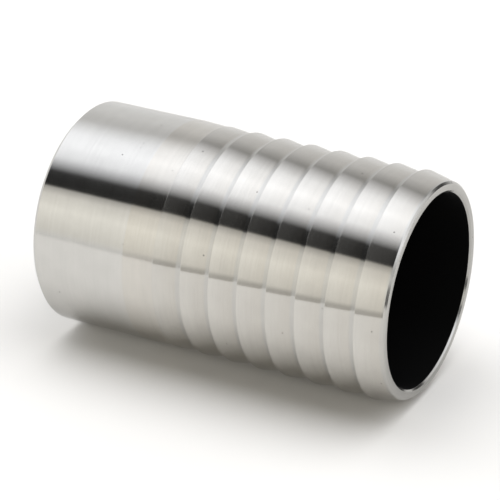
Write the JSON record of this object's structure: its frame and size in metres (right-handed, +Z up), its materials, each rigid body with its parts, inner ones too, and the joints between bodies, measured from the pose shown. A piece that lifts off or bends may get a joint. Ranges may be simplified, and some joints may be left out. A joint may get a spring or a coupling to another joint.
{
  "type": "weld-on hose shank",
  "caption": "Turned stainless steel tube with a smooth end to weld to a pipe or coupling and a saw-tooth barbed end that a hose is pushed over.",
  "frame": {"origin": "centre of the face of the smooth weld end, on the bore's axis", "axes": "+X along the bore towards the barbed hose end, +Z up with the shank lying on its side; the shape is the same all round X"},
  "size_m": [0.0867, 0.052, 0.052],
  "materials": {
    "turned_stainless": "fine-turned and lightly polished outside, with hairlines running round the axis; near-black matt bore"
  },
  "bodies": {
    "root": {"hose_shank": "turned_stainless"}
  },
  "joints": []
}
